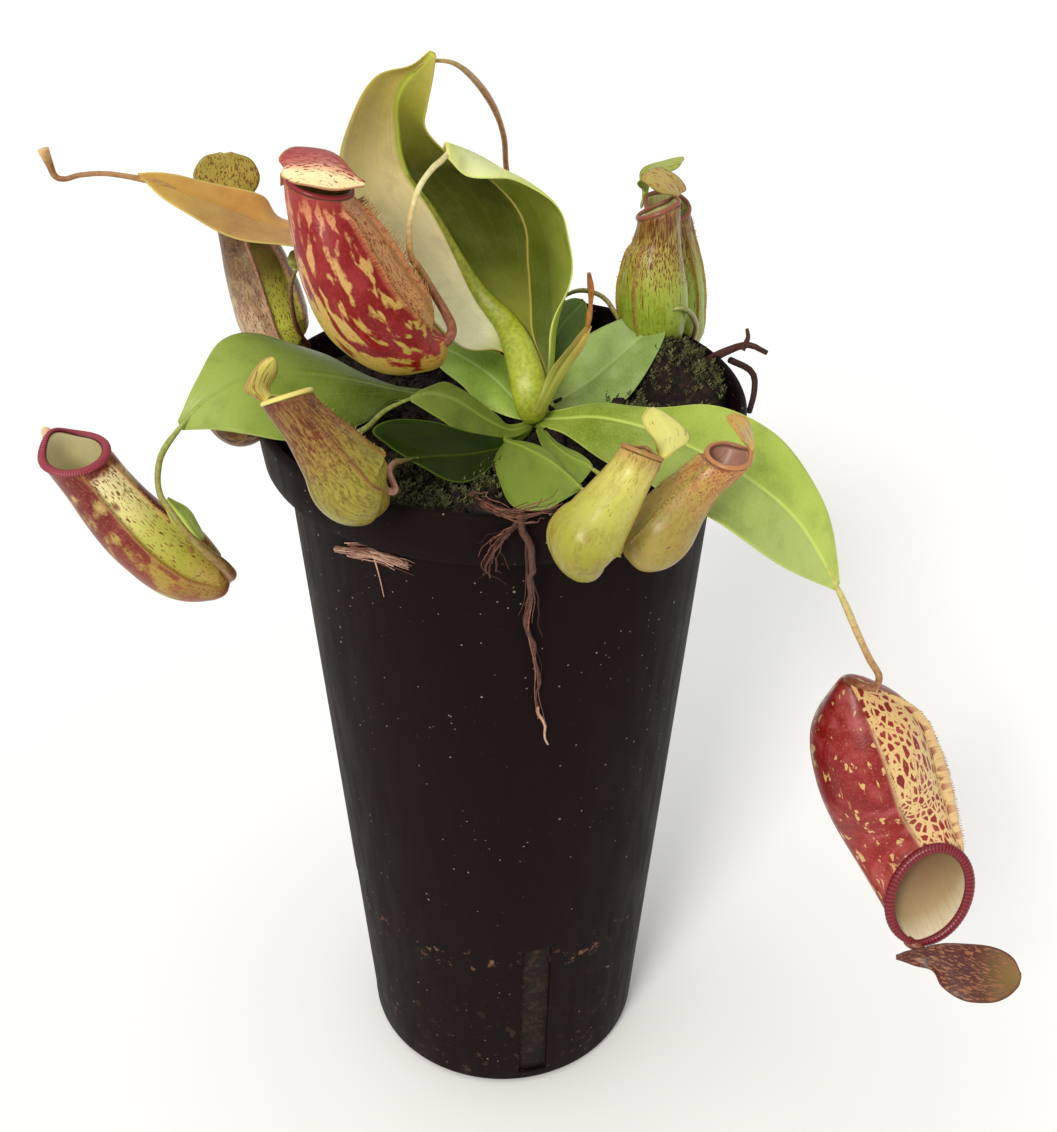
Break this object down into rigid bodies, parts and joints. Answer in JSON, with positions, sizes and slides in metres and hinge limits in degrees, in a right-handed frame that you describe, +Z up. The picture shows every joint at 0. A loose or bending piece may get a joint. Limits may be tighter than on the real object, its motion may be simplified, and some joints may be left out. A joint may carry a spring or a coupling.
{
  "type": "potted pitcher plant",
  "caption": "Carnivorous pitcher plant with arching leaves and hanging pitchers in a tall tapering nursery pot.",
  "frame": {"origin": "middle of the pot's underside, on the surface that it stands on", "axes": "+Z up along the pot's axis; -Y towards the front of the plant as pictured; +X to the right"},
  "size_m": [0.2529, 0.1567, 0.3139],
  "materials": {
    "pot_plastic": "moulded, satin, dusty",
    "peat": "damp, crumbly and dark",
    "moss": "dry grey-green tufts",
    "root": "dry fibrous rootlets",
    "stem": "smooth green stem",
    "leaf_green": "waxy leaf with a paler midrib",
    "leaf_olive": "waxy leaf with a grey bloom and a yellow-green midrib",
    "leaf_grey": "waxy grey-green leaf",
    "leaf_orange": "young leaf flushed orange-brown",
    "pitcher_red": "glossy red skin with yellow blotches",
    "pitcher_green": "yellow-green skin flushed red-brown at the neck",
    "pitcher_lip": "ribbed, glossy dark red collar",
    "pitcher_lid_red": "cream and red speckled lid",
    "pitcher_lid_green": "olive-yellow lid with small speckles"
  },
  "bodies": {
    "root": {"pot": "pot_plastic", "crown": "stem", "peat": "peat", "pitcher_hero": "pitcher_red", "pitcher_hero_lip": "pitcher_lip", "pitcher_hero_lid": "pitcher_lid_red", "pitcher_left": "pitcher_red", "pitcher_left_lip": "pitcher_lip", "pitcher_right": "pitcher_red", "pitcher_right_lip": "pitcher_lip", "pitcher_right_lid": "pitcher_lid_red", "pitcher_front_left": "pitcher_green", "pitcher_front_left_lip": "pitcher_lip", "pitcher_front_left_lid": "pitcher_lid_green", "pitcher_front_right": "pitcher_green", "pitcher_front_right_lip": "pitcher_lip", "pitcher_front_right_lid": "pitcher_lid_green", "pitcher_front_right_back": "pitcher_green", "pitcher_front_right_back_lip": "pitcher_lip", "pitcher_front_right_back_lid": "pitcher_lid_green", "pitcher_back_right": "pitcher_green", "pitcher_back_right_lip": "pitcher_lip", "pitcher_back_right_lid": "pitcher_lid_green", "pitcher_back_right_rear": "pitcher_green", "pitcher_back_right_rear_lip": "pitcher_lip", "pitcher_back_right_rear_lid": "pitcher_lid_green", "pitcher_back_left": "pitcher_green", "pitcher_back_left_lip": "pitcher_lip", "pitcher_back_left_lid": "pitcher_lid_green", "pitcher_low_left": "pitcher_red", "pitcher_low_left_lip": "pitcher_lip", "pitcher_back": "pitcher_red", "pitcher_back_lip": "pitcher_lip", "pitcher_back_lid": "pitcher_lid_green", "leaf_tall": "leaf_olive", "leaf_hood": "leaf_olive", "leaf_left": "leaf_green", "leaf_right": "leaf_green", "leaf_orange": "leaf_orange", "leaf_behind": "leaf_green", "leaf_front_left": "leaf_green", "leaf_low_left": "leaf_green", "leaf_folded": "leaf_green", "leaf_folded_behind": "leaf_green", "leaf_shaded": "leaf_green", "leaf_grey_right": "leaf_grey", "leaf_narrow_back": "leaf_green", "leaf_hidden_back": "leaf_green", "leaf_spear": "leaf_green", "moss": "moss", "peat_clump": "peat", "root_tangle": "root", "root_scrap": "root"}
  },
  "joints": []
}
